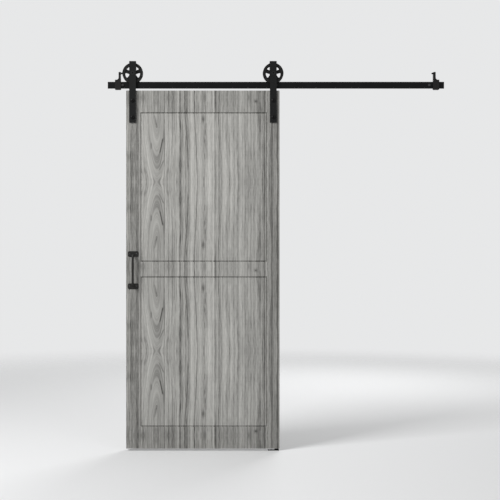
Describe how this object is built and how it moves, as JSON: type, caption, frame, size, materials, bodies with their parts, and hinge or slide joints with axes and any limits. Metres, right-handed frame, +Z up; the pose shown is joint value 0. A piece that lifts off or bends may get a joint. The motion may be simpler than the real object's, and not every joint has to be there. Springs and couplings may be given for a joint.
{
  "type": "sliding barn door with its track",
  "caption": "Single sliding panel door hung by folded straps and spoked wheels on a flat wall rail, with standoffs, rubber-nosed end stops, a pull handle and a floor guide.",
  "frame": {"origin": "the middle fixing of the rail, on the wall plane behind it, with the door drawn to its left end stop", "axes": "+X along the rail to the right as one faces the door, +Y into the wall, +Z up"},
  "size_m": [2.007, 0.152, 2.3475],
  "materials": {
    "rail_coat": "black powder coat",
    "screw_black": "black oxide with a slight sheen",
    "stop_coat": "black powder coat",
    "stop_rubber": "matt black rubber",
    "guide_coat": "black powder coat",
    "zinc": "zinc plated",
    "slab_face": "grey oak grain film, satin",
    "strap_coat": "black powder coat",
    "handle_iron": "black coated casting",
    "wheel_coat": "black coated casting",
    "bearing_steel": "ground bearing steel",
    "cage_steel": "pressed spring steel"
  },
  "bodies": {
    "track": {"track_rail": "rail_coat", "standoff_left": "rail_coat", "standoff_middle": "rail_coat", "standoff_right": "rail_coat", "lag_screws": "screw_black", "lag_washers": "screw_black", "stop_body_left": "stop_coat", "stop_body_right": "stop_coat", "stop_bumper_left": "stop_rubber", "stop_bumper_right": "stop_rubber", "stop_set_screws": "screw_black", "floor_guide": "guide_coat", "floor_guide_screws": "zinc"},
    "door": {"door_slab": "slab_face", "hanger_strap_left": "strap_coat", "hanger_strap_right": "strap_coat", "strap_bolts": "screw_black", "strap_nuts": "zinc", "handle": "handle_iron", "handle_screws": "screw_black", "axle_bolts": "strap_coat", "axle_nuts": "zinc", "axle_spacers_left": "zinc", "axle_spacers_right": "zinc", "bearing_inner_left": "bearing_steel", "bearing_inner_right": "bearing_steel"},
    "left_wheel": {"wheel_left": "wheel_coat", "bearing_outer_left": "bearing_steel", "bearing_balls_left": "bearing_steel", "bearing_cage_left": "cage_steel", "bearing_shields_left": "bearing_steel", "circlip_left": "cage_steel"},
    "right_wheel": {"wheel_right": "wheel_coat", "bearing_outer_right": "bearing_steel", "bearing_balls_right": "bearing_steel", "bearing_cage_right": "cage_steel", "bearing_shields_right": "bearing_steel", "circlip_right": "cage_steel"}
  },
  "joints": [
    {"name": "door_slide", "type": "slide", "parent": "track", "child": "door", "axis": [1, 0, 0], "range_m": [0, 0.885]},
    {"name": "left_wheel_spin", "type": "hinge", "parent": "door", "child": "left_wheel", "pos_m": [-0.8545, -0.035, 0.0708], "axis": [0, 1, 0], "continuous": true},
    {"name": "right_wheel_spin", "type": "hinge", "parent": "door", "child": "right_wheel", "pos_m": [-0.0165, -0.035, 0.0708], "axis": [0, 1, 0], "continuous": true}
  ],
  "couplings": [
    {"joint": "left_wheel_spin", "follows": "door_slide", "rad_per_m": 19.802},
    {"joint": "right_wheel_spin", "follows": "door_slide", "rad_per_m": 19.802}
  ]
}
